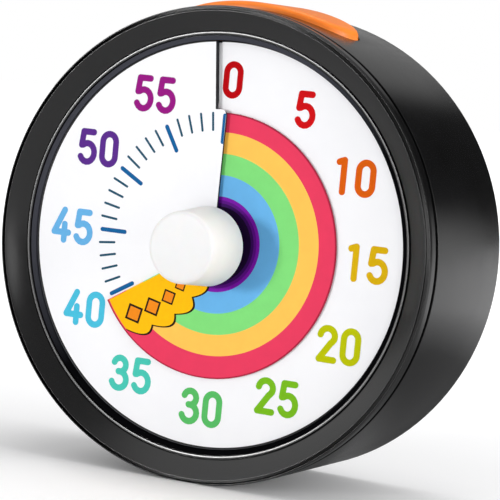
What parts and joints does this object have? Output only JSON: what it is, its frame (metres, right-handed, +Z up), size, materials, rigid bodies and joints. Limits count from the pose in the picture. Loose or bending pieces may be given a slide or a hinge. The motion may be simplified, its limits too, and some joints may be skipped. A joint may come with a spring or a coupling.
{
  "type": "visual countdown timer",
  "caption": "Round free-standing countdown timer: a knob winds a coloured disc out through a slot in a numbered dial, and an oval top button stops the alarm.",
  "frame": {"origin": "middle of the overall box, at the plane the grip pads stand on", "axes": "-Y is where the dial faces, +Y goes to the back, +Z is up, +X is the viewer's right"},
  "size_m": [0.08, 0.0418, 0.081],
  "materials": {
    "case_black": "satin moulded",
    "cover_black": "fine matt texture",
    "dial_white": "smooth moulded",
    "disc_print": "printed film",
    "hub_plastic": "moulded",
    "knob_white": "gloss moulded",
    "button_orange": "semi-gloss moulded",
    "steel": "turned or drawn",
    "brass": "pressed",
    "movement_plastic": "moulded",
    "wheel_plastic": "moulded",
    "magnet": "sintered",
    "bobbin_green": "moulded",
    "copper_wire": "enamelled winding",
    "board_green": "solder mask",
    "chip_black": "moulded",
    "cell_jacket": "printed jacket",
    "plunger_grey": "moulded",
    "pad_rubber": "matt"
  },
  "bodies": {
    "case": {"bezel_ring": "case_black", "case_barrel": "case_black", "rear_cover": "cover_black", "dial_plate": "dial_white", "movement_base": "movement_plastic", "movement_cover": "movement_plastic", "stator": "steel", "coil_bobbin": "bobbin_green", "coil_winding": "copper_wire", "circuit_board": "board_green", "control_chip": "chip_black", "buzzer": "chip_black", "battery": "cell_jacket", "contact_plate": "steel", "contact_spring": "steel", "button_springs": "steel", "tact_switch": "chip_black", "switch_board": "board_green", "rear_screws": "steel", "movement_screws": "steel", "cover_screws": "steel", "dial_screws": "steel", "grip_pads": "pad_rubber"},
    "knob": {"setting_knob": "knob_white", "spindle": "steel", "spindle_clip": "steel", "clutch_washer": "brass"},
    "disc": {"rainbow_disc": "disc_print", "disc_carrier": "hub_plastic"},
    "rotor": {"rotor": "magnet"},
    "second_wheel": {"second_wheel": "wheel_plastic"},
    "third_wheel": {"third_wheel": "wheel_plastic"},
    "centre_wheel": {"centre_wheel": "wheel_plastic"},
    "button": {"alarm_button": "button_orange", "switch_plunger": "plunger_grey"},
    "door": {"battery_door": "cover_black"}
  },
  "joints": [
    {"name": "knob_turn", "type": "hinge", "parent": "case", "child": "knob", "pos_m": [0, 0, 0.0398], "axis": [0, 1, 0], "range_deg": [-238.8, 121.2]},
    {"name": "disc_wind", "type": "slide", "parent": "knob", "child": "disc", "axis": [0, -1, 0], "range_m": [-0.00081, 0.00041]},
    {"name": "rotor_spin", "type": "hinge", "parent": "case", "child": "rotor", "pos_m": [-0.0095, 0.01, 0.05149], "axis": [0, 1, 0], "continuous": true},
    {"name": "second_spin", "type": "hinge", "parent": "case", "child": "second_wheel", "pos_m": [-0.00208, 0.01, 0.05347], "axis": [0, 1, 0], "continuous": true},
    {"name": "third_spin", "type": "hinge", "parent": "case", "child": "third_wheel", "pos_m": [0.0054, 0.01, 0.04915], "axis": [0, 1, 0], "continuous": true},
    {"name": "centre_spin", "type": "hinge", "parent": "case", "child": "centre_wheel", "pos_m": [0, 0.01, 0.0398], "axis": [0, 1, 0], "continuous": true},
    {"name": "button_press", "type": "slide", "parent": "case", "child": "button", "axis": [0, 0, -1], "range_m": [0, 0.0008], "stiffness_N_per_m": 1500, "springref_m": -0.0004, "deforming": ["button_springs"]},
    {"name": "door_lift", "type": "slide", "parent": "case", "child": "door", "axis": [0, 1, 0], "range_m": [0, 0.02]}
  ],
  "couplings": [
    {"joint": "disc_wind", "follows": "knob_turn", "m_per_rad": 0.00019099},
    {"joint": "second_spin", "follows": "rotor_spin", "ratio": -0.2},
    {"joint": "third_spin", "follows": "rotor_spin", "ratio": 0.04},
    {"joint": "centre_spin", "follows": "rotor_spin", "ratio": -0.008}
  ]
}
